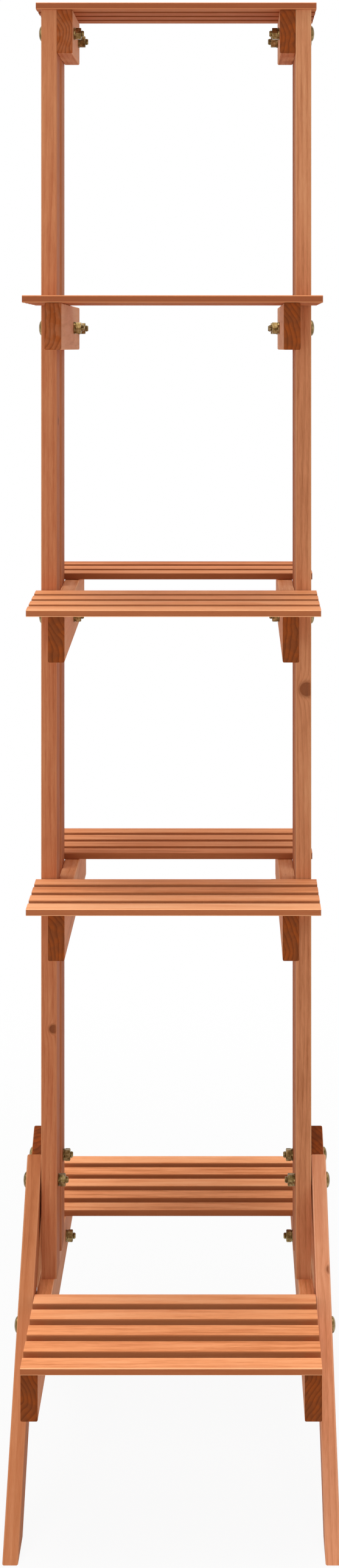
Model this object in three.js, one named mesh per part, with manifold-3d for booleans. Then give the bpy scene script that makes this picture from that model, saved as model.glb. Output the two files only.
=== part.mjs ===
// Plant ladder stand: a slim bolted tower of four posts with five slatted tiers and splayed legs.
// Millimetres, +Z up. Origin on the floor under the tower's centre; the slats run along X,
// and the stand is long from front (-Y) to rear (+Y).
import * as THREE from "three";
import { mergeVertices } from "three/addons/utils/BufferGeometryUtils.js";
import Module from "manifold-3d";

const wasm = await Module();
wasm.setup();

// ---- driving dimensions ----

// tower: two posts on each side, one behind the other
const towerWidth = 241; // over the outer faces of the posts
const postThickness = 14;
const postDepth = 38;
const postGap = 28; // clear space between a front post and the rear post behind it

// crossbars that carry the shelves
const barThickness = 14;
const barHeight = 39;
const barInset = 4; // the bar stops this far behind the shelf's outer edge

// slats
const slatWidth = 21;
const slatThickness = 6;
const slatOverhang = 4.5; // past the posts' outer faces, at each end
const slatGap = 9; // between the slats of a short or a middling shelf
const wideGap = 11.5; // between the slats of a wide shelf
const shortShelfCount = 3; // slats on the short shelf
const middlingShelfCount = 4; // slats on a middling shelf
const wideShelfCount = 5; // slats on a wide shelf
const shelfClearance = 0.5; // between a post and the shelf that starts beside it
const looseFit = 0.3; // between boards that meet out of square

// heights, to the top of the slats
const bottomTop = 172;
const lowerRise = 351; // from the bottom tier to the lower one
const middleRise = 259;
const upperRise = 257;
const topRise = 265;
const middleTilt = 2.2; // degrees that the middle tier hangs down at the front
const upperTilt = -0.8; // the upper tier stands up a little at the front

// bottom tier: its bars run under the posts, and its shelves stand away from the tower
const bottomSetback = 48;
const bottomOverhang = 2; // of its slats past the posts' outer faces

// legs
const legThickness = 13;
const legWidth = 38;
const legBoltRise = 76; // upper bolt, above the bottom tier's slats
const legBoltSpread = 70; // lower bolt, further out than the upper one
const legTopEnd = 17; // past the upper bolt, along the leg

// carriage bolts
const boltDiameter = 6;
const boltPlay = 0.5; // hole over bolt, on diameter
const headDiameter = 14;
const headHeight = 3.2;
const washerDiameter = 11;
const washerThickness = 1.6;
const nutWidth = 10; // across the flats
const nutHeight = 5;
const threadEnd = 2.5; // bolt left standing past the nut
const seatGap = 0.1; // under the head and under the washer

const easedEdge = 1.2; // radius on the long edges of the boards
const roundSteps = 12; // sides of a hole or a bolt
const domeSteps = 3; // rings of a bolt's domed head

// ---- worked out from them ----

const halfTower = towerWidth / 2;
const postInner = halfTower - postThickness;
const towerFace = postGap / 2 + postDepth; // front and rear faces of the tower
const postLine = (postGap + postDepth) / 2; // centre of a post, front to back
const holeRadius = (boltDiameter + boltPlay) / 2;

const shelfDepth = (count, gap) => count * slatWidth + (count - 1) * gap;
const shortDepth = shelfDepth(shortShelfCount, slatGap);
const middlingDepth = shelfDepth(middlingShelfCount, slatGap);
const wideDepth = shelfDepth(wideShelfCount, wideGap);
const shelfStart = towerFace + shelfClearance;
const slatLength = towerWidth + 2 * slatOverhang;
const bottomLength = towerWidth + 2 * bottomOverhang;
const bottomStart = towerFace + bottomSetback;

const lowerTop = bottomTop + lowerRise;
const middleTop = lowerTop + middleRise;
const upperTop = middleTop + upperRise;
const topTop = upperTop + topRise;
const barTopUnder = (top) => top - slatThickness;
const barMiddle = (top) => barTopUnder(top) - barHeight / 2;

// a tier that is turned about the line through the tower's middle at its bolts' height
function turnedTier(top, degrees) {
  const angle = THREE.MathUtils.degToRad(degrees);
  const pivot = barMiddle(top);
  return {
    // turning also carries the slats forward or back, which this makes up for
    shift: (barHeight / 2 + slatThickness) * Math.sin(angle),
    boltAt: (y) => [y * Math.cos(angle), pivot + y * Math.sin(angle)],
    turn(geometry) {
      geometry.translate(0, 0, -pivot);
      geometry.rotateX(angle);
      geometry.translate(0, 0, pivot);
      return geometry;
    },
  };
}

const middleTier = turnedTier(middleTop, middleTilt);
const upperTier = turnedTier(upperTop, upperTilt);

const postFoot = barTopUnder(bottomTop);
const postTop = barTopUnder(topTop);

const upperBoltZ = bottomTop + legBoltRise;
const lowerBoltZ = barMiddle(bottomTop);
const legLean = Math.atan2(legBoltSpread, upperBoltZ - lowerBoltZ);
const legTop = upperBoltZ + legTopEnd * Math.cos(legLean) + (legWidth / 2) * Math.sin(legLean);
// each leg leans outwards too, from the post at its top to clear the bottom slats
const legSplay = bottomOverhang / (legTop - bottomTop);
const legInnerAt = (z) => halfTower + looseFit + legSplay * (legTop - z);

// ---- materials ----

const finish = (colour, roughness, metalness) =>
  new THREE.MeshStandardMaterial({ color: colour, roughness, metalness });
const slatWood = finish("#d98f63", 0.6, 0);
const frameWood = finish("#c07a52", 0.6, 0);
const zincBrass = finish("#c2a35a", 0.35, 0.9);

const stand = new THREE.Group();

// ---- solids ----

function toSolid(geometry) {
  const bare = geometry.index ? geometry.clone() : geometry;
  bare.deleteAttribute("normal");
  bare.deleteAttribute("uv");
  const merged = mergeVertices(bare, 1e-4);
  return new wasm.Manifold(
    new wasm.Mesh({
      numProp: 3,
      vertProperties: new Float32Array(merged.attributes.position.array),
      triVerts: new Uint32Array(merged.index.array),
    }),
  );
}

function toGeometry(solid) {
  const mesh = solid.getMesh();
  const geometry = new THREE.BufferGeometry();
  geometry.setAttribute("position", new THREE.BufferAttribute(mesh.vertProperties, 3));
  geometry.setIndex(new THREE.BufferAttribute(mesh.triVerts, 1));
  const flat = geometry.toNonIndexed();
  flat.computeVertexNormals();
  return flat;
}

function addPiece(name, geometry, material) {
  const piece = new THREE.Mesh(geometry, material);
  piece.name = name;
  stand.add(piece);
}

// a rectangle with its corners rounded off
function easedRectangle(width, height) {
  const x = width / 2 - easedEdge;
  const y = height / 2 - easedEdge;
  const outline = new THREE.Shape();
  outline.absarc(x, y, easedEdge, 0, Math.PI / 2);
  outline.absarc(-x, y, easedEdge, Math.PI / 2, Math.PI);
  outline.absarc(-x, -y, easedEdge, Math.PI, 1.5 * Math.PI);
  outline.absarc(x, -y, easedEdge, 1.5 * Math.PI, 2 * Math.PI);
  return outline;
}

// which way a board's section and length point: [section's first axis, its second, the length]
const alongX = [new THREE.Vector3(0, 1, 0), new THREE.Vector3(0, 0, 1), new THREE.Vector3(1, 0, 0)];
const alongY = [new THREE.Vector3(0, 0, 1), new THREE.Vector3(1, 0, 0), new THREE.Vector3(0, 1, 0)];
const alongZ = [new THREE.Vector3(1, 0, 0), new THREE.Vector3(0, 1, 0), new THREE.Vector3(0, 0, 1)];

function board(first, second, length, axes, centre) {
  const geometry = new THREE.ExtrudeGeometry(easedRectangle(first, second), {
    depth: length,
    bevelEnabled: false,
    curveSegments: 2,
  });
  geometry.translate(0, 0, -length / 2);
  geometry.applyMatrix4(new THREE.Matrix4().makeBasis(...axes));
  geometry.translate(...centre);
  return geometry;
}

// bolt holes run along X; each is given by its place from front to back and its height
function drill(geometry, holes) {
  let solid = toSolid(geometry);
  for (const [y, z] of holes) {
    const hole = new THREE.CylinderGeometry(holeRadius, holeRadius, 2 * towerWidth, roundSteps);
    hole.rotateZ(Math.PI / 2);
    hole.translate(0, y, z);
    solid = solid.subtract(toSolid(hole));
  }
  return toGeometry(solid);
}

// ---- posts ----

// where a post is bolted to the four tiers that hang on it
function tierBolts(y) {
  return [[y, barMiddle(lowerTop)], middleTier.boltAt(y), upperTier.boltAt(y), [y, barMiddle(topTop)]];
}

const sides = [
  ["left", -1],
  ["right", 1],
];
const ends = [
  ["front", -1],
  ["rear", 1],
];

for (const [endName, end] of ends) {
  for (const [sideName, side] of sides) {
    const centre = [
      side * (halfTower - postThickness / 2),
      end * postLine,
      (postTop + postFoot) / 2,
    ];
    const post = board(postThickness, postDepth, postTop - postFoot, alongZ, centre);
    const holes = [...tierBolts(end * postLine), [end * postLine, upperBoltZ]];
    addPiece(`${endName}_${sideName}_post`, drill(post, holes), frameWood);
  }
}

// ---- crossbars ----

function addBars(tier, top, outerFace, frontY, rearY, holeYs, turn = (bar) => bar) {
  for (const [sideName, side] of sides) {
    const centre = [side * (outerFace - barThickness / 2), (frontY + rearY) / 2, barMiddle(top)];
    const bar = board(barHeight, barThickness, rearY - frontY, alongY, centre);
    const holes = holeYs.map((y) => [y, barMiddle(top)]);
    addPiece(`${tier}_${sideName}_bar`, turn(drill(bar, holes)), frameWood);
  }
}

const throughPosts = [-postLine, postLine];
const throughLegs = [-postLine - legBoltSpread, postLine + legBoltSpread];
const bottomReach = bottomStart + wideDepth - barInset;
const shortReach = shelfStart + shortDepth - barInset;
const middlingReach = shelfStart + middlingDepth - barInset;
const wideReach = shelfStart + wideDepth - barInset;
const topReach = middlingDepth / 2 - barInset;

addBars("bottom", bottomTop, bottomLength / 2, -bottomReach, bottomReach, throughLegs);
addBars("lower", lowerTop, postInner, -middlingReach, middlingReach, throughPosts);
addBars("middle", middleTop, postInner, -middlingReach, shortReach, throughPosts, middleTier.turn);
addBars("upper", upperTop, postInner, -wideReach, towerFace, throughPosts, upperTier.turn);
addBars("top", topTop, postInner, -topReach, topReach, throughPosts);

// ---- slats ----

// a shelf's slats, counted from its edge at startY towards direction
function addSlats(shelf, top, length, count, gap, startY, direction, turn = (slat) => slat) {
  for (let i = 0; i < count; i++) {
    const y = startY + direction * (slatWidth / 2 + i * (slatWidth + gap));
    const centre = [0, y, top - slatThickness / 2];
    const slat = board(slatWidth, slatThickness, length, alongX, centre);
    addPiece(`${shelf}_slat_${i + 1}`, turn(slat), slatWood);
  }
}

addSlats("bottom_front", bottomTop, bottomLength, wideShelfCount, wideGap, -bottomStart, -1);
addSlats("bottom_rear", bottomTop, bottomLength, wideShelfCount, wideGap, bottomStart, 1);
addSlats("lower_front", lowerTop, slatLength, middlingShelfCount, slatGap, -shelfStart, -1);
addSlats("lower_rear", lowerTop, slatLength, middlingShelfCount, slatGap, shelfStart, 1);
for (const [shelf, tier, top, count, gap, end] of [
  ["middle_front", middleTier, middleTop, middlingShelfCount, slatGap, -1],
  ["middle_rear", middleTier, middleTop, shortShelfCount, slatGap, 1],
  ["upper_front", upperTier, upperTop, wideShelfCount, wideGap, -1],
]) {
  const start = end * shelfStart + tier.shift;
  addSlats(shelf, top + looseFit, slatLength, count, gap, start, end, tier.turn);
}
addSlats("top", topTop, slatLength, middlingShelfCount, slatGap, -middlingDepth / 2, 1);

// ---- legs ----

// a leg's side view: square at the top, cut level at the floor
function legOutline(end) {
  const out = Math.sin(legLean);
  const down = Math.cos(legLean);
  const corner = (across) => {
    const y = postLine - legTopEnd * out + across * down;
    const z = upperBoltZ + legTopEnd * down + across * out;
    return [y, z];
  };
  const outer = corner(legWidth / 2);
  const inner = corner(-legWidth / 2);
  const atFloor = ([y, z]) => [y + z * Math.tan(legLean), 0];
  const outline = new THREE.Shape();
  outline.moveTo(end * outer[0], outer[1]);
  for (const [y, z] of [atFloor(outer), atFloor(inner), inner]) {
    outline.lineTo(end * y, z);
  }
  outline.closePath();
  return outline;
}

for (const [endName, end] of ends) {
  for (const [sideName, side] of sides) {
    const leg = new THREE.ExtrudeGeometry(legOutline(end), {
      depth: legThickness - 2 * easedEdge,
      bevelThickness: easedEdge,
      bevelSize: easedEdge,
      bevelOffset: -easedEdge,
      bevelSegments: 2,
    });
    leg.applyMatrix4(new THREE.Matrix4().makeBasis(...alongX));
    leg.translate(side * (legInnerAt(0) + legThickness / 2) - legThickness / 2 + easedEdge, 0, 0);
    leg.applyMatrix4(new THREE.Matrix4().makeShear(0, 0, 0, 0, -side * legSplay, 0));
    const holes = [
      [end * postLine, upperBoltZ],
      [end * (postLine + legBoltSpread), lowerBoltZ],
    ];
    addPiece(`${endName}_${sideName}_leg`, drill(leg, holes), frameWood);
  }
}

// ---- bolts ----

// A carriage bolt with its washer and nut run up as one piece, along +X from its head's seat.
function carriageBolt(grip) {
  const shank = boltDiameter / 2;
  const washerAt = grip + seatGap;
  const nutAt = washerAt + washerThickness;
  const tip = nutAt + nutHeight + threadEnd;
  const crown = headDiameter / 2;
  const profile = [new THREE.Vector2(0, -headHeight - seatGap)];
  for (let i = 1; i <= domeSteps; i++) {
    const turn = (i / domeSteps) * (Math.PI / 2);
    const rim = -headHeight * Math.cos(turn) - seatGap;
    profile.push(new THREE.Vector2(crown * Math.sin(turn), rim));
  }
  profile.push(new THREE.Vector2(shank, -seatGap));
  profile.push(new THREE.Vector2(shank, washerAt));
  profile.push(new THREE.Vector2(washerDiameter / 2, washerAt));
  profile.push(new THREE.Vector2(washerDiameter / 2, nutAt));
  profile.push(new THREE.Vector2(shank, nutAt));
  profile.push(new THREE.Vector2(shank, tip));
  profile.push(new THREE.Vector2(0, tip));
  const turned = new THREE.LatheGeometry(profile, roundSteps);
  const nut = new THREE.CylinderGeometry(nutWidth / Math.sqrt(3), nutWidth / Math.sqrt(3), nutHeight, 6);
  nut.rotateY(Math.PI / 6); // a flat on top
  nut.translate(0, nutAt + nutHeight / 2, 0);
  const bolt = toGeometry(toSolid(turned).add(toSolid(nut)));
  bolt.rotateZ(-Math.PI / 2);
  return bolt;
}

// one on each side, with its head outside and its nut inside the tower
function addBolts(name, headFace, nutFace, [y, z]) {
  for (const [sideName, side] of sides) {
    const bolt = carriageBolt(headFace - nutFace);
    if (side > 0) {
      bolt.rotateZ(Math.PI);
    }
    bolt.translate(side * headFace, y, z);
    addPiece(`${name}_${sideName}_bolt`, bolt, zincBrass);
  }
}

const barInner = postInner - barThickness;
const bottomBarInner = bottomLength / 2 - barThickness;
const legFaceAt = (z) => legInnerAt(z - headDiameter / 2) + legThickness;
addBolts("top_front", halfTower, barInner, [-postLine, barMiddle(topTop)]);
addBolts("upper_front", halfTower, barInner, upperTier.boltAt(-postLine));
addBolts("front_leg", legFaceAt(upperBoltZ), postInner, [-postLine, upperBoltZ]);
addBolts("rear_leg", legFaceAt(lowerBoltZ), bottomBarInner, [postLine + legBoltSpread, lowerBoltZ]);

export default stand;
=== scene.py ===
"""Plant ladder stand: stained wood on every board, plated carriage bolts, a pale floor and soft light."""

import math

import bmesh
import bpy
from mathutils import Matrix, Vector


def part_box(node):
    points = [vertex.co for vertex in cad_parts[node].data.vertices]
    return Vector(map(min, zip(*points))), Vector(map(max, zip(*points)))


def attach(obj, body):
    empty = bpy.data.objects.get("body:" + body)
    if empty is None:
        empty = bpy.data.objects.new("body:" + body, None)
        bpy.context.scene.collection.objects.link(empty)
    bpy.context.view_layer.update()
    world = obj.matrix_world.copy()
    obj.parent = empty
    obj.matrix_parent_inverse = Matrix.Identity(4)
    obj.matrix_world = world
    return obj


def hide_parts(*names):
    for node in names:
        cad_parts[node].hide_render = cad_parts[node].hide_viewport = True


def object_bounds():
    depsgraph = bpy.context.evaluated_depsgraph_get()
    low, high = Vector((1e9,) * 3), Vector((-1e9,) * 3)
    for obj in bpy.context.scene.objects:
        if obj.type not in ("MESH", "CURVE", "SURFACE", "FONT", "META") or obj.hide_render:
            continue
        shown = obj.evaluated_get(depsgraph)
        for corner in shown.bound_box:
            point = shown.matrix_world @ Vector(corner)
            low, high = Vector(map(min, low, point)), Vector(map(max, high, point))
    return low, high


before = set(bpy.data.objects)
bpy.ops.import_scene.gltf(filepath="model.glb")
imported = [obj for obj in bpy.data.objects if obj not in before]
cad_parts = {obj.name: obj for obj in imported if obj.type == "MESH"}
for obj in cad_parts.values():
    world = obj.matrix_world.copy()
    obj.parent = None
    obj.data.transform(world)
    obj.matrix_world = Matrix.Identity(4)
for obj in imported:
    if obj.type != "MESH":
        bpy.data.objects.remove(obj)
cad_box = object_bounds()

# ---- view: a level camera in front of the stand, its picture shifted down and to the side ----

PICTURE_WIDE = 557  # in pixels, as are the next three
PICTURE_HIGH = 2576
FOCAL = 4031.6
VANISHING = (373, 515)  # straight ahead of the camera
EYE = (0.0453, -2.240, 1.027)  # in metres
SENSOR_HEIGHT = 24.0  # in millimetres
FARTHEST_SEEN = 60

# ---- light: each level is what a white surface shows that faces it ----

WALLS_LEVEL = 1.05  # the pale walls round the stand
SKY_LEVEL = 0.42
WALLS_END = 0.10  # how far up a unit sphere the walls start to turn into sky
SKY_STARTS = 0.34
TOP_LEVEL = 0.70
FRONT_LEVEL = 0.14

# ---- floor: shaded near the stand, and fading to plain white for whatever sees it directly ----

FLOOR_SIZE = 24
FLOOR_SHIFT = 4  # to the rear
FLOOR_TONE = 0.54
FLOOR_MOTTLE = 0.01
FLOOR_GLOW = 0.93  # share of white in what is seen near the stand
GLOW_RISES = 0.3  # metres from the stand's middle
GLOW_IS_FULL = 1.6
GLOW_SCALE = 2.0  # the metres that a ramp from 0 to 1 stands for

# ---- sizes of the bolts, in metres ----

MM = 0.001
HEAD_RADIUS = 7.0 * MM
HEAD_HEIGHT = 3.2 * MM
HEAD_RIM = 0.5 * MM
HEAD_STEPS = 10
SEAT_GAP = 0.1 * MM
SHANK_RADIUS = 3.0 * MM
THREAD_DEPTH = 0.35 * MM
THREAD_PITCH = 1.0 * MM
TIP_CHAMFER = 0.7 * MM
TIP_LENGTH = 0.6 * MM  # at least, without thread
WASHER_RADIUS = 5.5 * MM
WASHER_THICKNESS = 1.6 * MM
WASHER_SOFTENING = 0.25 * MM
NUT_WIDTH = 10.0 * MM
NUT_HEIGHT = 5.0 * MM
NUT_CHAMFER = math.radians(30)
NUT_FACE = 0.97  # the round face left by the chamfer, as a share of the nut's width
THREAD_END = 2.5 * MM
RIM_SOFTENING = 0.15 * MM
THREAD_BITE = 0.2 * MM  # of a nut or washer into the shank
BOLT_SIDES = 48
CREASE = math.radians(32)  # edges sharper than this stay crisp

# each tier's bolts: their height at the tower's middle, and how far the tier tilts, front end down
TIER_BOLTS = {
    "lower": (497.5 * MM, 0),
    "middle": (756.5 * MM, math.radians(2.2)),
    "upper": (1013.5 * MM, math.radians(-0.8)),
    "top": (1278.5 * MM, 0),
}

# ---- boards ----

SLAT_SECTION = (21 * MM, 6 * MM)
BOARD_SECTION = (14 * MM, 38 * MM)
EDGE_SOFTENING = 0.5 * MM
SOFTENING_STEPS = 2
SOFTENED_FROM = math.radians(50)  # edges flatter than this are left

# stain tones, some darkened or lightened as painted light and shade: light, middle, dark and end grain
PALE_SLAT_TONES = ("#ffba88", "#f29f6a", "#bf6a38", "#84441e")
SLAT_TONES = ("#f0a674", "#e08c5a", "#ad5d30", "#803e1a")
# darker tones for the two highest shelves, as painted shade
SHADED_HIGH_SLAT_TONES = ("#dc9060", "#c87648", "#985028", "#803e1a")
BAR_TONES = ("#eeae82", "#dc8e5c", "#a0562e", "#8c4822")
PALE_END_BAR_TONES = (*BAR_TONES[:3], "#b1653c")
# left posts darker than right ones, partly as painted shade from the shelves above them
LEFT_POST_TONES = ("#d28c60", "#ba6d47", "#8b4928", "#7a3d18")
RIGHT_POST_TONES = ("#e3a779", "#cf8a60", "#a05f3a", "#7a3d18")
# rear posts darker, as painted shade where the front posts stand in the light's way
SHADED_REAR_POST_TONES = ("#cc865c", "#b46a44", "#864828", "#7a3d18")
LEFT_LEG_TONES = ("#d08c62", "#be764c", "#96522e", "#84421e")
RIGHT_LEG_TONES = ("#f0ae88", "#dd936a", "#b06640", "#84421e")

# tones of the narrow sides: painted shade for slats in the gaps, painted light for the bars
SHADED_GAP_SIDES = "#8a4826"  # painted shade on a slat's sides, where it faces its neighbour across a gap
PALE_SHADED_GAP_SIDES = "#a4603a"
SHOWN_SIDES = "#ab5f38"  # of the slat at a shelf's front edge, lighter than the painted shade in the gaps
# the front slat's sides on the two highest shelves, darker as painted shade
SHADED_HIGH_SHOWN_SIDES = "#9c5433"
# painted light: the bars' side faces made paler, as if lit from the pale walls round the stand
LIT_BAR_SIDES = "#f2b891"
LIT_BAR_SIDE_COVER = 0.5

# each shelf's stain, the painted shade on the sides of its slats, and the sides of the slat that shows at
# its front edge
SHELF_TONES = {
    "top_slat": (SHADED_HIGH_SLAT_TONES, SHADED_GAP_SIDES, SHADED_HIGH_SHOWN_SIDES),
    "upper_front_slat": (SHADED_HIGH_SLAT_TONES, SHADED_GAP_SIDES, SHADED_HIGH_SHOWN_SIDES),
    "middle_front_slat": (PALE_SLAT_TONES, PALE_SHADED_GAP_SIDES, SHOWN_SIDES),
    "middle_rear_slat": (SLAT_TONES, SHADED_GAP_SIDES, None),
    "lower_front_slat": (PALE_SLAT_TONES, PALE_SHADED_GAP_SIDES, SHOWN_SIDES),
    "lower_rear_slat": (SLAT_TONES, PALE_SHADED_GAP_SIDES, None),
    "bottom_front_slat": (PALE_SLAT_TONES, PALE_SHADED_GAP_SIDES, SHOWN_SIDES),
    "bottom_rear_slat": (PALE_SLAT_TONES, PALE_SHADED_GAP_SIDES, None),
}
# bars whose ends take a paler end-grain tone, with less painted shade
PALE_END_BARS = ("top_left_bar", "upper_left_bar")

# knots: place and radius, in metres. On a post the place is sideways from its middle, back from its
# front face, and up from the floor. On a leg it is out from its outer face, and then as in the frame.
POST_KNOTS = {
    "front_right_post": (((0.003, 0, 0.692), 0.0058), ((-0.005, 0.02, 0.33), 0.0035)),
    "front_left_post": (((0.004, 0, 0.389), 0.0034), ((0.007, 0.02, 0.93), 0.0030)),
    "rear_left_post": (((0, 0.03, 0.86), 0.005), ((0, 0, 0.30), 0.004)),
    "rear_right_post": (((0, 0.03, 0.62), 0.005), ((0, 0, 1.12), 0.004)),
}
LEG_KNOTS = {
    "front_right_leg": (((-0.003, -0.095, 0.1915), 0.0034), ((-0.001, -0.048, 0.260), 0.0030)),
}
PLAIN_LEG_KNOT = 0.0045  # radius of the one half way up every other leg

# ---- figure of the wood ----

AXES_BY_GRAIN = {"X": (1, 2, 0), "Y": (0, 2, 1), "Z": (0, 1, 2)}  # across, through and along a board
TREE_LENGTH = 31.7  # boards are cut from anywhere along it
SLOWER_ALONG = 0.08  # the figure's change along a board, as a share of that across it
PITH_NEAREST = 0.022  # metres from the board to the middle of the tree
PITH_SPREAD = 0.05  # how much further off, or to the side, it may lie
PITH_SIDE_SEED = 17.0
PITH_DEPTH_SEED = 41.0
SWAY = (0.022, 0.022, 0.022)  # metres over which the growth rings wander
RING_COUNT = 260.0  # growth rings a metre
# from early wood to late wood across one ring, as a position and a darkness
RING_TONES = [(0.0, 0.15), (0.45, 0.3), (0.84, 0.95), (0.93, 1.0), (1.0, 0.15)]
KNOT_CORE = 0.2  # share of a knot's radius inside which it pushes no harder
KNOT_PUSH = 2.2  # rings that a knot pushes aside at its rim
KNOT_PUSH_MOST = 5.0  # and in its middle
KNOT_COLOURS = ("#6a3218", "#8c4c2a")
KNOT_TONES = [(0.28, 0.0), (0.75, 0.45), (1.0, 0.8)]  # cover by closeness, 1 at the rim
RING_WEIGHT = 0.20  # each weight is a share of the way from the light tone to the dark one
STREAK_WEIGHT = 0.85
FIBRE_WEIGHT = 0.40
BROAD_WEIGHT = 0.75
BOARD_WEIGHT = 0.30
USUAL_DEPTH = 0.32  # the share that the weights swing about
RED_STAIN = "#b04a1c"
RED_STRENGTH = 0.4
END_BLOTCH = "#a8501c"
END_RING = "#5c2a10"
END_RING_STRENGTH = 0.55
STREAK_DRYNESS = 0.6  # the streaks' share in how rough the wood is; the fibres have the rest
RING_RELIEF = -0.5  # late wood, fibres and pores as shares of the relief's height
FIBRE_RELIEF = 0.9
PORE_RELIEF = -1.2
WOOD_SHEEN = 0.07


def colour(code):
    """A hex colour as linear RGBA."""
    parts = [int(code[i : i + 2], 16) / 255 for i in (1, 3, 5)]
    linear = [c / 12.92 if c <= 0.04045 else ((c + 0.055) / 1.055) ** 2.4 for c in parts]
    return (*linear, 1.0)


# ---- materials ----


class Graph:
    """A node tree being put together, for a material or for the world."""

    def __init__(self, owner):
        owner.use_nodes = True
        self.owner = owner
        self.tree = owner.node_tree
        self.tree.nodes.clear()

    def add(self, kind, inputs=None, **settings):
        """A new node. inputs holds values, and sockets to link from, by the input's name or number."""
        node = self.tree.nodes.new(kind)
        for key, value in settings.items():
            setattr(node, key, value)
        for key, value in (inputs or {}).items():
            if isinstance(value, bpy.types.NodeSocket):
                self.tree.links.new(value, node.inputs[key])
            else:
                node.inputs[key].default_value = value
        return node

    def math(self, operation, *values, clamp=False):
        inputs = dict(enumerate(values))
        return self.add("ShaderNodeMath", inputs, operation=operation, use_clamp=clamp).outputs[0]

    def vector(self, operation, *values):
        node = self.add("ShaderNodeVectorMath", dict(enumerate(values)), operation=operation)
        return node.outputs["Value" if operation in ("LENGTH", "DISTANCE") else 0]

    def split(self, vector):
        return self.add("ShaderNodeSeparateXYZ", {0: vector}).outputs

    def join(self, x, y, z=0.0):
        return self.add("ShaderNodeCombineXYZ", {0: x, 1: y, 2: z}).outputs[0]

    def noise(self, place, scale, detail=2.0, roughness=0.5, output="Fac"):
        inputs = {"Vector": place, "Scale": scale, "Detail": detail, "Roughness": roughness}
        return self.add("ShaderNodeTexNoise", inputs).outputs[output]

    def ramp(self, factor, stops, smooth=False):
        """Goes through the stops, each a position from 0 to 1 with a colour or a grey."""
        node = self.add("ShaderNodeValToRGB", {0: factor})
        node.color_ramp.interpolation = "EASE" if smooth else "LINEAR"
        elements = node.color_ramp.elements
        elements[0].position = stops[0][0]
        elements[1].position = stops[-1][0]
        for at, _ in stops[1:-1]:
            elements.new(at)
        for element, (_, shade) in zip(elements, stops):
            element.color = shade if isinstance(shade, tuple) else (shade, shade, shade, 1)
        return node.outputs[0]

    def mix(self, factor, a, b):
        return self.add("ShaderNodeMix", {0: factor, 6: a, 7: b}, data_type="RGBA").outputs[2]

    def swing(self, value, weight):
        """A value from 0 to 1 as one that swings to either side of 0."""
        return self.math("MULTIPLY", self.math("SUBTRACT", value, 0.5), weight)

    def bump(self, height, strength, distance):
        inputs = {"Strength": strength, "Distance": distance, "Height": height}
        return self.add("ShaderNodeBump", inputs).outputs[0]

    def seen_directly(self):
        """1 on rays from the camera, and on those that metal or glass sends on."""
        path = self.add("ShaderNodeLightPath").outputs
        seen = self.math("MAXIMUM", path["Is Camera Ray"], path["Is Glossy Ray"])
        return self.math("MAXIMUM", seen, path["Is Transmission Ray"])

    def finish(self, shader):
        is_world = isinstance(self.owner, bpy.types.World)
        self.add("ShaderNodeOutputWorld" if is_world else "ShaderNodeOutputMaterial", {0: shader})
        return self.owner


def upright(g, vector, lean):
    """A vector in a leaning board, as it is with the board turned back about X."""
    if not lean:
        return vector
    inputs = {"Vector": vector, "Angle": lean}
    return g.add("ShaderNodeVectorRotate", inputs, rotation_type="X_AXIS").outputs[0]


def knot_field(g, place, knots):
    """1 at a knot's rim, more inside it and less outside. None where there is no knot."""
    field = None
    for knot_place, radius in knots:
        away = g.vector("DISTANCE", place, knot_place)
        near = g.math("DIVIDE", radius, g.math("MAXIMUM", away, radius * KNOT_CORE))
        near = g.math("POWER", near, 2.0)
        field = near if field is None else g.math("ADD", field, near)
    return field


def growth_rings(g, cut_place, bent, chance, flat_across, field):
    """0 in early wood to 1 in late wood, round a pith that lies beside the board. cut_place is the place
    on the cut across the board, and flat_across says that the board's first axis is its wide one."""
    sway = g.vector("SUBTRACT", g.noise(bent, scale=26.0, output="Color"), (0.5, 0.5, 0.5))
    sway = g.vector("MULTIPLY", sway, SWAY)
    side_chance = g.math("FRACT", g.math("MULTIPLY", chance, PITH_SIDE_SEED))
    depth_chance = g.math("FRACT", g.math("MULTIPLY", chance, PITH_DEPTH_SEED))
    sideways = g.swing(side_chance, PITH_SPREAD)
    outwards = g.math("ADD", g.math("MULTIPLY", depth_chance, PITH_SPREAD), PITH_NEAREST)
    pith = g.join(sideways, outwards) if flat_across else g.join(outwards, sideways)
    from_pith = g.split(g.vector("ADD", g.vector("ADD", cut_place, sway), pith))
    distance = g.vector("LENGTH", g.join(from_pith[0], from_pith[1]))
    phase = g.math("MULTIPLY", distance, RING_COUNT)
    if field is not None:
        push = g.math("MINIMUM", g.math("MULTIPLY", field, KNOT_PUSH), KNOT_PUSH_MOST)
        phase = g.math("ADD", phase, push)
    return g.ramp(g.math("FRACT", phase), RING_TONES)


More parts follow.
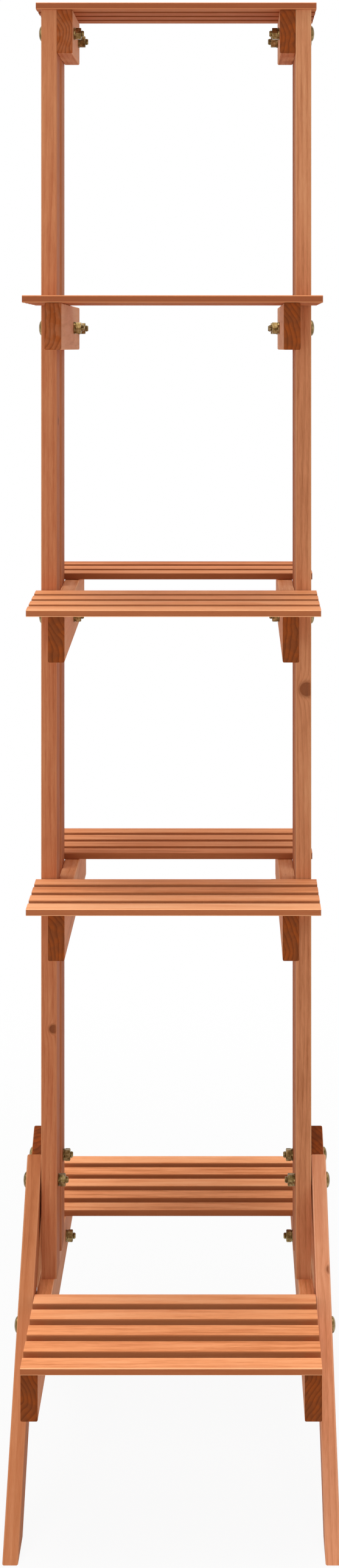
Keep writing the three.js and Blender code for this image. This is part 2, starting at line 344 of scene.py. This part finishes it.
def wood(name, grain, tones, section=None, lean=0.0, knots=(), sides=None, side_cover=0.88, edge_wear_and_highlight=0.9):
    """Stained softwood, with painted light and shade on some faces. grain is the axis the boards run
    along, X, Y or Z, after a turn about X by lean. tones are light, middle, dark and end grain; the end
    grain's dark tone is partly painted shade. section is a straight board's width and depth across the
    grain. knots are (place, radius) in metres. sides is the tone of the faces across the section's first
    axis: painted shade on slats that face a neighbour across a gap, painted light on the bars. side_cover
    is how far it covers the stain.
    edge_wear_and_highlight is how far the long edges are rubbed lighter, partly wear and partly a painted
    highlight; where they aren't, the sides' tone reaches over them."""
    g = Graph(bpy.data.materials.new(name))
    light, middle, dark, end_grain = (colour(t) for t in tones)
    spot = g.add("ShaderNodeTexCoord").outputs
    place = upright(g, spot["Object"], lean)
    order = AXES_BY_GRAIN[grain]
    axes = g.split(place)
    across, through, along = (axes[i] for i in order)

    # every board is cut from its own part of the tree
    chance = g.add("ShaderNodeObjectInfo").outputs["Random"]
    down_the_tree = g.math("MULTIPLY_ADD", chance, TREE_LENGTH, along)
    bent = g.join(across, through, g.math("MULTIPLY", down_the_tree, SLOWER_ALONG))

    cut_place = bent
    if section:
        in_board = g.split(g.vector("SUBTRACT", spot["Generated"], (0.5, 0.5, 0.5)))
        cut_place = g.join(*(g.math("MULTIPLY", in_board[order[i]], section[i]) for i in (0, 1)))
    field = knot_field(g, spot["Object"], knots)
    rings = growth_rings(g, cut_place, bent, chance, grain == "X", field)

    streaks = g.noise(bent, scale=190.0, detail=4.0, roughness=0.6)
    fibres = g.noise(bent, scale=1300.0, roughness=0.6)
    broad = g.noise(bent, scale=17.0, detail=1.0)

    depth = g.math("MULTIPLY", rings, RING_WEIGHT)
    depth = g.math("ADD", depth, g.swing(streaks, STREAK_WEIGHT))
    depth = g.math("ADD", depth, g.swing(fibres, FIBRE_WEIGHT))
    depth = g.math("ADD", depth, g.swing(broad, BROAD_WEIGHT))
    depth = g.math("ADD", depth, g.swing(chance, BOARD_WEIGHT))
    depth = g.math("ADD", depth, USUAL_DEPTH, clamp=True)
    stain = g.ramp(depth, [(0.0, light), (0.5, middle), (1.0, dark)])

    # redder streaks where the stain ran along the grain
    runs = g.noise(bent, scale=75.0, detail=3.0, roughness=0.6)
    red = g.ramp(runs, [(0.54, 0.0), (0.72, 0.55)])
    stain = g.mix(red, stain, g.mix(RED_STRENGTH, stain, colour(RED_STAIN)))

    # fine dark pores
    pores = g.ramp(g.noise(bent, scale=620.0, roughness=0.7), [(0.62, 0.0), (0.78, 0.30)])
    stain = g.mix(pores, stain, dark)

    if field is not None:
        heart = g.mix(g.ramp(streaks, [(0.4, 0.0), (0.6, 1.0)]), *map(colour, KNOT_COLOURS))
        stain = g.mix(g.ramp(field, KNOT_TONES, smooth=True), stain, heart)

    # eased edges are rubbed lighter, partly real wear and partly a painted highlight along the arrises, or
    # share the tone of the sides
    facing = g.split(upright(g, g.add("ShaderNodeNewGeometry").outputs["Normal"], lean))
    squareness = [g.math("ABSOLUTE", facing[i]) for i in (0, 1, 2)]
    if edge_wear_and_highlight:
        flatness = g.math("MAXIMUM", g.math("MAXIMUM", squareness[0], squareness[1]), squareness[2])
        stain = g.mix(g.ramp(flatness, [(0.93, edge_wear_and_highlight), (0.985, 0.0)]), stain, light)
    # the sides' tone: painted shade on slats in the gaps, painted light on the bars
    if sides:
        starts, full = (0.85, 0.97) if edge_wear_and_highlight else (0.25, 0.7)
        side_light_and_shade = g.ramp(squareness[order[0]], [(starts, 0.0), (full, side_cover)])
        stain = g.mix(side_light_and_shade, stain, colour(sides))

    # ends soak up more stain and show the rings; their dark tone is partly painted shade
    blotches = g.noise(place, scale=115.0, detail=3.0, roughness=0.6)
    soaked = g.ramp(blotches, [(0.38, 0.0), (0.66, 0.8)], smooth=True)
    end_stain_and_shade = g.mix(soaked, end_grain, colour(END_BLOTCH))
    end_stain_and_shade = g.mix(g.math("MULTIPLY", rings, END_RING_STRENGTH), end_stain_and_shade, colour(END_RING))
    stain = g.mix(g.ramp(squareness[order[2]], [(0.75, 0.0), (0.92, 1.0)]), stain, end_stain_and_shade)

    dryness = g.math(
        "ADD",
        g.math("MULTIPLY", streaks, STREAK_DRYNESS),
        g.math("MULTIPLY", fibres, 1 - STREAK_DRYNESS),
    )
    relief = g.math(
        "ADD",
        g.math("MULTIPLY", rings, RING_RELIEF),
        g.math("MULTIPLY", fibres, FIBRE_RELIEF),
    )
    relief = g.math("ADD", relief, g.math("MULTIPLY", pores, PORE_RELIEF))
    shader = g.add(
        "ShaderNodeBsdfPrincipled",
        {
            "Base Color": stain,
            "Roughness": g.ramp(dryness, [(0.3, 0.56), (0.7, 0.74)]),
            "Normal": g.bump(relief, strength=0.35, distance=0.25 * MM),
            "Specular IOR Level": WOOD_SHEEN,
        },
    )
    return g.finish(shader.outputs[0])


def plated_steel(name):
    """Yellow plating: brassy, a little uneven, with fine scratches."""
    g = Graph(bpy.data.materials.new(name))
    place = g.add("ShaderNodeTexCoord").outputs["Object"]
    patches = g.noise(place, scale=260.0, detail=3.0, roughness=0.6)
    grit = g.noise(place, scale=2600.0, roughness=0.7)
    tint = g.ramp(patches, [(0.3, colour("#5a4828")), (0.5, colour("#8b7347")), (0.7, colour("#bca678"))])
    tint = g.mix(g.ramp(grit, [(0.5, 0.0), (0.72, 0.6)]), tint, colour("#4c3f20"))
    shader = g.add(
        "ShaderNodeBsdfPrincipled",
        {
            "Base Color": tint,
            "Metallic": 1.0,
            "Roughness": g.ramp(grit, [(0.3, 0.24), (0.7, 0.44)]),
            "Normal": g.bump(grit, strength=0.25, distance=0.05 * MM),
        },
    )
    return g.finish(shader.outputs[0])


def floor_white():
    g = Graph(bpy.data.materials.new("floor_white"))
    place = g.add("ShaderNodeNewGeometry").outputs["Position"]
    mottle = [(0.3, FLOOR_TONE - FLOOR_MOTTLE), (0.7, FLOOR_TONE + FLOOR_MOTTLE)]
    shade = g.ramp(g.noise(place, scale=3.0), mottle)
    shaded = g.add("ShaderNodeBsdfDiffuse", {0: shade}).outputs[0]
    glow = g.add("ShaderNodeEmission", {0: (1, 1, 1, 1), 1: 1.0}).outputs[0]
    away = g.math("DIVIDE", g.vector("LENGTH", place), GLOW_SCALE)
    rise = [(GLOW_RISES / GLOW_SCALE, FLOOR_GLOW), (GLOW_IS_FULL / GLOW_SCALE, 1.0)]
    whiteness = g.ramp(away, rise, smooth=True)
    factor = g.math("MULTIPLY", g.seen_directly(), whiteness)
    return g.finish(g.add("ShaderNodeMixShader", {0: factor, 1: shaded, 2: glow}).outputs[0])


# ---- the boards ----


def middle_of(box):
    low, high = box
    return (Vector(low) + Vector(high)) / 2


leg_upper_bolt = middle_of(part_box("front_leg_left_bolt"))
leg_lower_bolt = middle_of(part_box("rear_leg_left_bolt"))
LEG_LEAN = math.atan2(
    abs(leg_lower_bolt.y) - abs(leg_upper_bolt.y),
    leg_upper_bolt.z - leg_lower_bolt.z,
)


def make_shelf_woods(shelf):
    """A shelf's wood, with painted shade on its slats' sides in the gaps, and that of the slat at its
    front edge.
    """
    tones, gap_shade_tone, shown = SHELF_TONES[shelf]
    gap_shaded_wood = wood(shelf + "_wood", "X", tones, SLAT_SECTION, sides=gap_shade_tone, edge_wear_and_highlight=0)
    if shown is None:
        return gap_shaded_wood, gap_shaded_wood
    return gap_shaded_wood, wood(shelf + "_edge_wood", "X", tones, SLAT_SECTION, sides=shown)


def make_bar_wood(name, tones):
    return wood(name, "Y", tones, BOARD_SECTION, sides=LIT_BAR_SIDES, side_cover=LIT_BAR_SIDE_COVER)


shelf_woods = {shelf: make_shelf_woods(shelf) for shelf in SHELF_TONES}
bar_wood = make_bar_wood("bar_wood", BAR_TONES)
pale_end_bar_wood = make_bar_wood("pale_end_bar_wood", PALE_END_BAR_TONES)


def slat_wood(name):
    shelf = name.rpartition("_")[0]
    shelf_front = min(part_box(other)[0][1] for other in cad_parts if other.startswith(shelf))
    gap_shaded_wood, at_front = shelf_woods[shelf]
    return at_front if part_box(name)[0][1] == shelf_front else gap_shaded_wood


def post_wood(name):
    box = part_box(name)
    middle = middle_of(box)
    front = box[0][1]
    knots = [((middle.x + x, front + y, z), radius) for (x, y, z), radius in POST_KNOTS[name]]
    tones = LEFT_POST_TONES if middle.x < 0 else RIGHT_POST_TONES
    # the rear posts take darker tones as painted shade from the front posts
    if front > 0:
        tones = SHADED_REAR_POST_TONES
    return wood(name + "_wood", "Z", tones, BOARD_SECTION, knots=knots)


def leg_wood(name):
    low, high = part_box(name)
    middle = middle_of((low, high))
    outer = high[0] if middle.x > 0 else low[0]
    knots = [((outer, middle.y, middle.z), PLAIN_LEG_KNOT)]
    if name in LEG_KNOTS:
        knots = [((outer + x, y, z), radius) for (x, y, z), radius in LEG_KNOTS[name]]
    tones = LEFT_LEG_TONES if middle.x < 0 else RIGHT_LEG_TONES
    lean = -LEG_LEAN if middle.y > 0 else LEG_LEAN
    return wood(name + "_wood", "Z", tones, lean=lean, knots=knots)


def board_wood(name):
    """The wood of a board, or None for a node that is no board."""
    if "_slat_" in name:
        return slat_wood(name)
    if name.endswith("_bar"):
        return pale_end_bar_wood if name in PALE_END_BARS else bar_wood
    if name.endswith("_post"):
        return post_wood(name)
    if name.endswith("_leg"):
        return leg_wood(name)
    return None


for name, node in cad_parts.items():
    material = board_wood(name)
    if material is None:
        continue
    for slot in node.material_slots:
        slot.material = material
    softening = node.modifiers.new("softened_edges", "BEVEL")
    softening.width = EDGE_SOFTENING
    softening.segments = SOFTENING_STEPS
    softening.limit_method = "ANGLE"
    softening.angle_limit = SOFTENED_FROM
    softening.harden_normals = True


# ---- the bolts ----

bolt_finish = plated_steel("plated_steel")


def turned(mesh, profile, sides=BOLT_SIDES):
    """Turns a closed outline of (distance along X, radius) about the X axis. An end at radius 0 is capped.
    A distance or a radius may be a function of the angle."""
    rings = []
    for along, radius in profile:
        if radius == 0:
            rings.append([mesh.verts.new((along, 0, 0))])
            continue
        ring = []
        for i in range(sides):
            angle = 2 * math.pi * i / sides
            r = radius(angle) if callable(radius) else radius
            x = along(angle) if callable(along) else along
            ring.append(mesh.verts.new((x, r * math.cos(angle), r * math.sin(angle))))
        rings.append(ring)
    for a, b in zip(rings, rings[1:] + rings[:1]):
        if len(a) == len(b) == 1:
            continue
        for i in range(sides):
            j = (i + 1) % sides
            corners = [a[i % len(a)], a[j % len(a)], b[j % len(b)], b[i % len(b)]]
            mesh.faces.new(list(dict.fromkeys(corners)))


def head_profile():
    """A shallow dome with a narrow rim."""
    profile = [(-HEAD_HEIGHT - SEAT_GAP, 0)]
    for i in range(1, HEAD_STEPS + 1):
        turn = i / HEAD_STEPS * math.pi / 2
        height = HEAD_RIM + (HEAD_HEIGHT - HEAD_RIM) * math.cos(turn)
        profile.append((-SEAT_GAP - height, HEAD_RADIUS * math.sin(turn)))
    profile.append((-SEAT_GAP, HEAD_RADIUS - RIM_SOFTENING))
    return profile


def hexagon(angle):
    """Distance from a nut's axis to its side, at this angle. One flat faces up."""
    sector = math.pi / 3
    return NUT_WIDTH / 2 / math.cos(angle % sector - sector / 2)


def nut_profile(start):
    """A hexagon nut with both ends chamfered to a circle."""
    end = start + NUT_HEIGHT
    bore = SHANK_RADIUS - THREAD_BITE
    circle = NUT_FACE * NUT_WIDTH / 2

    def chamfer(angle):
        return (hexagon(angle) - circle) * math.tan(NUT_CHAMFER)

    return [
        (start, bore),
        (start, circle),
        (lambda angle: start + chamfer(angle), hexagon),
        (lambda angle: end - chamfer(angle), hexagon),
        (end, circle),
        (end, bore),
    ]


def washer_profile(start):
    end = start + WASHER_THICKNESS
    bore = SHANK_RADIUS - THREAD_BITE
    return [
        (start, bore),
        (start, WASHER_RADIUS - WASHER_SOFTENING),
        (start + WASHER_SOFTENING, WASHER_RADIUS),
        (end - WASHER_SOFTENING, WASHER_RADIUS),
        (end, WASHER_RADIUS - WASHER_SOFTENING),
        (end, bore),
    ]


def bolt_profile(thread_from, tip):
    """The head and shank, threaded from the nut outwards, with a chamfered tip."""
    profile = head_profile()
    profile.append((-SEAT_GAP, SHANK_RADIUS))
    along = thread_from
    profile.append((along, SHANK_RADIUS))
    while along + THREAD_PITCH < tip - TIP_LENGTH:
        profile.append((along + THREAD_PITCH / 2, SHANK_RADIUS - THREAD_DEPTH))
        profile.append((along + THREAD_PITCH, SHANK_RADIUS))
        along += THREAD_PITCH
    profile.append((tip, SHANK_RADIUS - TIP_CHAMFER))
    profile.append((tip, 0))
    return profile


def add_bolt(name, at, side, seat, nut_seat, stands_for=None):
    """A carriage bolt on the line through at, its head outside at seat and its nut inside at nut_seat."""
    washer_at = abs(seat - nut_seat) + SEAT_GAP
    nut_at = washer_at + WASHER_THICKNESS
    tip = nut_at + NUT_HEIGHT + THREAD_END
    mesh = bmesh.new()
    turned(mesh, bolt_profile(nut_at, tip))
    turned(mesh, washer_profile(washer_at))
    turned(mesh, nut_profile(nut_at))
    for vertex in mesh.verts:
        x, y, z = vertex.co
        vertex.co = (seat - side * x, at.y + y, at.z + z)
    bmesh.ops.recalc_face_normals(mesh, faces=mesh.faces)
    data = bpy.data.meshes.new(name)
    mesh.to_mesh(data)
    mesh.free()
    data.shade_smooth()
    data.materials.append(bolt_finish)
    piece = bpy.data.objects.new(name, data)
    bpy.context.scene.collection.objects.link(piece)
    piece.modifiers.new("crisp_edges", "EDGE_SPLIT").split_angle = CREASE
    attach(piece, "root")
    if stands_for:
        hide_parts(stands_for)


def bolt_seats(node):
    """Where a CAD bolt's line runs, and where its head and its washer sit."""
    low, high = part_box(node)
    at = middle_of((low, high))
    side = 1 if at.x > 0 else -1
    crown = high[0] if side > 0 else low[0]
    tip = low[0] if side > 0 else high[0]
    seat = crown - side * (HEAD_HEIGHT + SEAT_GAP)
    nut_seat = tip + side * (THREAD_END + NUT_HEIGHT + WASHER_THICKNESS + SEAT_GAP)
    return at, side, seat, nut_seat


for hand in ("left", "right"):
    # the CAD holds two of a side's four leg bolts, and each one's twin is at the stand's other end
    for reference, twin in (
        (f"front_leg_{hand}_bolt", f"rear_leg_upper_{hand}_bolt"),
        (f"rear_leg_{hand}_bolt", f"front_leg_lower_{hand}_bolt"),
    ):
        at, side, seat, nut_seat = bolt_seats(reference)
        add_bolt(reference + "_detail", at, side, seat, nut_seat, stands_for=reference)
        add_bolt(twin, Vector((at.x, -at.y, at.z)), side, seat, nut_seat)

    at, side, seat, nut_seat = bolt_seats(f"top_front_{hand}_bolt")
    for tier, (height, tilt) in TIER_BOLTS.items():
        for end, y in (("front", at.y), ("rear", -at.y)):
            name = f"{tier}_{end}_{hand}_bolt"
            place = Vector((at.x, y * math.cos(tilt), height + y * math.sin(tilt)))
            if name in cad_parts:
                add_bolt(name + "_detail", place, side, seat, nut_seat, stands_for=name)
            else:
                add_bolt(name, place, side, seat, nut_seat)


# ---- floor, light and camera ----

bpy.ops.mesh.primitive_plane_add(size=FLOOR_SIZE, location=(0, FLOOR_SHIFT, cad_box[0][2]))
floor = bpy.context.object
floor.name = "floor"
floor.data.materials.append(floor_white())


def pale_studio():
    """Pale walls with a dimmer sky above them. What sees the world directly sees plain white."""
    g = Graph(bpy.data.worlds.new("studio"))
    height = g.split(g.add("ShaderNodeTexCoord").outputs["Generated"])["Z"]
    steps = {0: height, 1: WALLS_END, 2: SKY_STARTS, 3: WALLS_LEVEL, 4: SKY_LEVEL}
    level = g.add("ShaderNodeMapRange", steps, interpolation_type="SMOOTHSTEP").outputs[0]
    white = (1, 1, 1, 1)
    light = g.add("ShaderNodeBackground", {"Color": white, "Strength": level}).outputs[0]
    backdrop = g.add("ShaderNodeBackground", {"Color": white, "Strength": 1.0}).outputs[0]
    return g.finish(g.add("ShaderNodeMixShader", {0: g.seen_directly(), 1: light, 2: backdrop}).outputs[0])


def add_sun(name, direction, level, spread):
    """A broad far light. level is what it adds to a white surface that faces it, and spread its width
    in degrees."""
    light = bpy.data.lights.new(name, "SUN")
    light.energy = math.pi * level
    light.angle = math.radians(spread)
    lamp = bpy.data.objects.new(name, light)
    lamp.rotation_euler = Vector(direction).to_track_quat("-Z", "Y").to_euler()
    bpy.context.scene.collection.objects.link(lamp)


bpy.context.scene.world = pale_studio()
add_sun("overhead", (0.08, 0.12, -1.0), TOP_LEVEL, 36)
add_sun("from_the_front", (0.12, 1.0, -0.04), FRONT_LEVEL, 30)

camera = bpy.data.cameras.new("camera")
camera.sensor_fit = "VERTICAL"
camera.sensor_height = SENSOR_HEIGHT
camera.lens = SENSOR_HEIGHT * FOCAL / PICTURE_HIGH
camera.shift_x = (PICTURE_WIDE / 2 - VANISHING[0]) / PICTURE_HIGH
camera.shift_y = (VANISHING[1] - PICTURE_HIGH / 2) / PICTURE_HIGH
camera.clip_end = FARTHEST_SEEN
viewer = bpy.data.objects.new("camera", camera)
viewer.location = EYE
viewer.rotation_euler = (math.pi / 2, 0, 0)
bpy.context.scene.collection.objects.link(viewer)
bpy.context.scene.camera = viewer
bpy.context.scene.view_settings.view_transform = "Standard"
